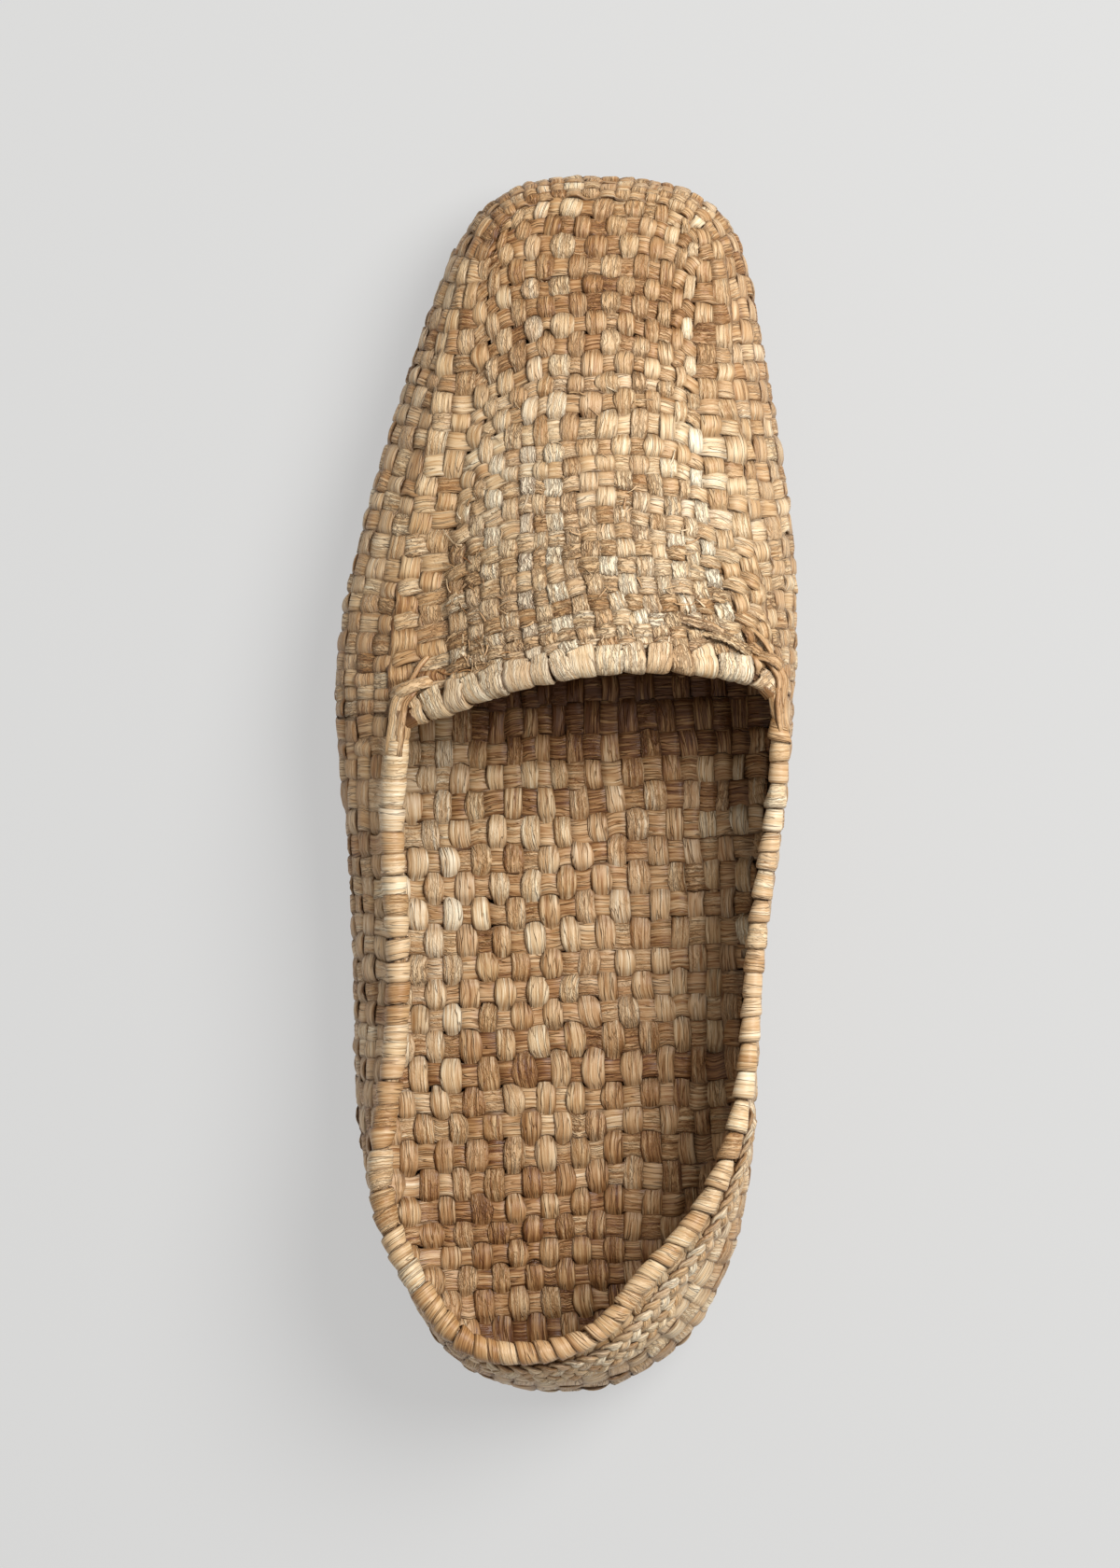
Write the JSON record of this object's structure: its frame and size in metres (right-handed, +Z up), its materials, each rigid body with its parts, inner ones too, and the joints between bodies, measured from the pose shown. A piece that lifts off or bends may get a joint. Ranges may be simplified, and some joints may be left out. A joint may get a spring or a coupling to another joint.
{
  "type": "straw shoe",
  "caption": "Slip-on straw shoe in plain plaited weave, with a squared toe, a low open collar, a woven footbed and wrapped rims.",
  "frame": {"origin": "on the floor, under the middle of the shoe's length and width", "axes": "+Y towards the toe, +X towards the inner (medial) side of the foot, +Z up"},
  "size_m": [0.0995, 0.2607, 0.0531],
  "materials": {
    "sole_straw": "coarse plaited straw, matt and a little dirty",
    "footbed_straw": "flat straw strips in plain weave, worn satin",
    "woven_straw": "flat straw strips in plain weave, satin",
    "collar_straw": "pale straw strips wrapped round a roll, satin",
    "throat_straw": "pale straw strips wrapped round a roll, satin"
  },
  "bodies": {
    "root": {"outsole": "sole_straw", "insole": "footbed_straw", "upper": "woven_straw", "collar_binding": "collar_straw", "throat_binding": "throat_straw"}
  },
  "joints": []
}
